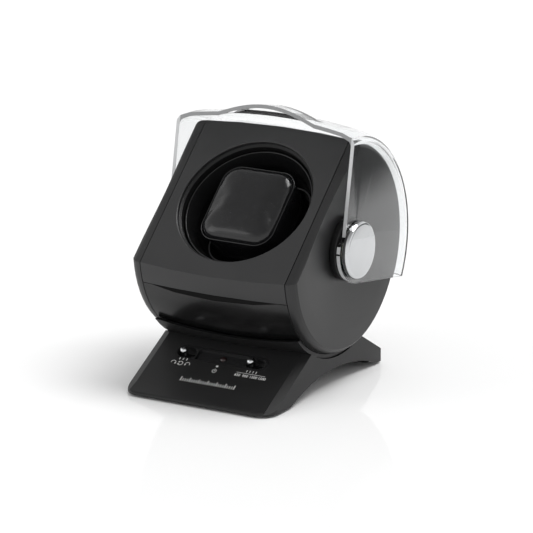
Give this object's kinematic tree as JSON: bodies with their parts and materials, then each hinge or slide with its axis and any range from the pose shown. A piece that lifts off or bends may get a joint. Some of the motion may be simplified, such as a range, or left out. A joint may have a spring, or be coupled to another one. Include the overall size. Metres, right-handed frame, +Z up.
{
  "type": "watch winder box",
  "caption": "Single watch winder: horizontal drum with a flat leaning front and a motor-turned cushion cup, on a bridge-shaped base with slide controls, under a clear swing-over cover.",
  "frame": {"origin": "middle of the whole object's box in X and Y, on the surface the rubber feet stand on", "axes": "+Z up, +X to the viewer's right as the control panel is faced, +Y from the control panel towards the power inlet at the back; the drum's axis runs along X, 100 mm above the surface"},
  "size_m": [0.154, 0.1854, 0.1942],
  "materials": {
    "base_plastic": "satin black moulded plastic, fine grain",
    "drum_plastic": "satin black moulded plastic, fine grain",
    "fascia_plastic": "satin charcoal moulded plastic",
    "trim_plastic": "black, semi-gloss",
    "plate_plastic": "black, moulded",
    "cup_gloss": "piano black",
    "cushion_cover": "black glossy leatherette over foam",
    "clear_acrylic": "clear, polished",
    "polished_chrome": "mirror chrome plate",
    "steel": "zinc plated",
    "bush_brass": "turned",
    "nylon": "natural nylon",
    "foot_rubber": "black, soft",
    "board_green": "solder-resist green",
    "lamp_lens": "dark red tinted lens, unlit"
  },
  "bodies": {
    "housing": {"base_shell": "base_plastic", "base_bottom_plate": "plate_plastic", "rubber_foot_1": "foot_rubber", "rubber_foot_2": "foot_rubber", "rubber_foot_3": "foot_rubber", "rubber_foot_4": "foot_rubber", "plate_screw_1": "steel", "plate_screw_2": "steel", "plate_screw_3": "steel", "plate_screw_4": "steel", "saddle_screw_1": "steel", "saddle_screw_2": "steel", "control_insert": "trim_plastic", "direction_switch": "plate_plastic", "turns_switch": "plate_plastic", "power_lamp": "lamp_lens", "control_board": "board_green", "power_inlet": "plate_plastic", "drum_shell": "drum_plastic", "front_fascia": "fascia_plastic", "side_cap_left": "drum_plastic", "side_cap_right": "drum_plastic", "opening_bezel": "trim_plastic", "motor_plate": "steel", "plate_post_screw_1": "steel", "plate_post_screw_2": "steel", "plate_post_screw_3": "steel", "plate_post_screw_4": "steel", "gear_motor": "steel", "spindle_bush": "bush_brass", "pivot_hub_left": "trim_plastic", "pivot_hub_right": "trim_plastic", "friction_washer_left": "nylon", "friction_washer_right": "nylon", "pivot_screw_left": "steel", "pivot_screw_right": "steel", "chrome_puck_left": "polished_chrome", "chrome_puck_right": "polished_chrome"},
    "cover": {"clear_cover": "clear_acrylic"},
    "cup": {"rotating_cup": "cup_gloss", "cup_gear": "nylon", "spindle_clip": "steel", "cushion_holder": "cup_gloss"},
    "cushion": {"watch_cushion": "cushion_cover"},
    "pinion": {"motor_pinion": "nylon"},
    "direction_slider": {"direction_lever": "polished_chrome"},
    "turns_slider": {"turns_lever": "polished_chrome"}
  },
  "joints": [
    {"name": "cover_hinge", "type": "hinge", "parent": "housing", "child": "cover", "pos_m": [0, 0.0053, 0.1], "axis": [1, 0, 0], "range_deg": [0, 107]},
    {"name": "cup_spin", "type": "hinge", "parent": "housing", "child": "cup", "pos_m": [0, 0.0053, 0.1], "axis": [0, -0.682, 0.7314], "continuous": true},
    {"name": "pinion_spin", "type": "hinge", "parent": "housing", "child": "pinion", "pos_m": [0, 0.02724, 0.12046], "axis": [0, -0.682, 0.7314], "continuous": true},
    {"name": "cushion_lift", "type": "slide", "parent": "cup", "child": "cushion", "axis": [0, -0.682, 0.7314], "range_m": [0, 0.03]},
    {"name": "direction_slide", "type": "slide", "parent": "housing", "child": "direction_slider", "axis": [1, 0, 0], "range_m": [0, 0.0057]},
    {"name": "turns_slide", "type": "slide", "parent": "housing", "child": "turns_slider", "axis": [1, 0, 0], "range_m": [0, 0.0074]}
  ],
  "couplings": [
    {"joint": "pinion_spin", "follows": "cup_spin", "ratio": -4}
  ]
}
